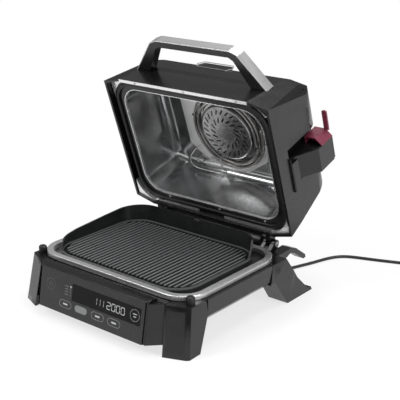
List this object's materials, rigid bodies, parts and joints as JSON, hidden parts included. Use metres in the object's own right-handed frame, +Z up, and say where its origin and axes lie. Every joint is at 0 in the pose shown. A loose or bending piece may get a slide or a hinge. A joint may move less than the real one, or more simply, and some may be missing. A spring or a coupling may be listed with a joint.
{
  "type": "electric smoker grill",
  "caption": "Countertop electric smoker grill with a raised hinged lid, fan and heating coil in the lid, ribbed grill plate, wood pellet box, touch panel and power cord.",
  "frame": {"origin": "middle of the box round the grill without its cord, coil and plug, at the height of the surface it stands on", "axes": "+Z up, -Y towards the cook and the touch panel, +X towards the smoke box side"},
  "size_m": [0.6938, 0.7178, 0.5205],
  "materials": {
    "grey_enamel": "dark grey satin enamel",
    "maroon_plastic": "satin dark red",
    "dark_frame": "black enamel",
    "gasket": "black silicone",
    "steel_liner": "bright rolled steel",
    "steel_trim": "polished",
    "satin_steel": "satin",
    "steel_shield": "plain sheet",
    "element": "dark oxidised tube",
    "black_plastic": "fine satin",
    "cast_plate": "dark non-stick coat",
    "tray_steel": "dark enamel",
    "pot_steel": "plain sheet",
    "display_black": "gloss black",
    "board_green": "circuit board",
    "black_rubber": "matt",
    "plug_brass": "plain"
  },
  "bodies": {
    "base": {"base_tub": "black_plastic", "trim_ring": "satin_steel", "inner_pot": "pot_steel", "lower_heater": "element", "heater_clips": "steel_shield", "front_leg_right": "black_plastic", "front_leg_left": "black_plastic", "rear_leg_right": "black_plastic", "rear_leg_left": "black_plastic", "side_rail_right": "black_plastic", "side_rail_left": "black_plastic", "cord_hook_right": "black_plastic", "cord_hook_left": "black_plastic", "rubber_feet": "black_rubber", "lid_bumpers": "black_rubber", "control_housing": "black_plastic", "control_fascia": "black_plastic", "display_window": "display_black", "control_board": "board_green", "control_cap_right": "black_plastic", "control_cap_left": "black_plastic", "hinge_bracket_right": "dark_frame", "hinge_bracket_left": "dark_frame", "hinge_cover": "black_plastic", "hinge_pins": "steel_trim", "strain_relief": "black_rubber", "power_cord": "black_rubber", "cord_coil": "black_rubber", "plug_body": "black_rubber", "plug_pins": "plug_brass"},
    "lid": {"lid_shell": "grey_enamel", "lid_frame": "dark_frame", "lid_gasket": "gasket", "lid_liner": "steel_liner", "frame_front_strip": "steel_trim", "frame_screws": "steel_trim", "heat_shield": "steel_shield", "heating_coil": "element", "fan_guard": "steel_shield", "fan_motor": "steel_shield", "temperature_probe": "steel_trim", "probe_bracket": "steel_shield", "handle_body": "black_plastic", "handle_strip": "satin_steel", "lid_hinge_arms": "dark_frame", "smoke_box_housing": "grey_enamel", "pellet_box": "steel_shield", "smoke_cover_pin": "steel_trim", "side_slab": "black_plastic"},
    "fan": {"fan_impeller": "steel_shield"},
    "smoke_lid": {"smoke_cover": "grey_enamel", "smoke_lever": "maroon_plastic"},
    "plate": {"grill_plate": "cast_plate"},
    "tray": {"grease_tray": "tray_steel"}
  },
  "joints": [
    {"name": "lid_hinge", "type": "hinge", "parent": "base", "child": "lid", "pos_m": [-0.00979, 0.14031, 0.105], "axis": [-1, 0, 0], "range_deg": [-71.2, 0]},
    {"name": "smoke_cover_hinge", "type": "hinge", "parent": "lid", "child": "smoke_lid", "pos_m": [0.20621, 0.23274, 0.28964], "axis": [-1, 0, 0], "range_deg": [0, 90]},
    {"name": "fan_spin", "type": "hinge", "parent": "lid", "child": "fan", "pos_m": [-0.00979, 0.18327, 0.31083], "axis": [0, 0.9466, 0.3223], "continuous": true},
    {"name": "plate_lift", "type": "slide", "parent": "base", "child": "plate", "axis": [0, 0, 1], "range_m": [0, 0.06]},
    {"name": "tray_slide", "type": "slide", "parent": "base", "child": "tray", "axis": [0, 1, 0], "range_m": [0, 0.09]}
  ]
}
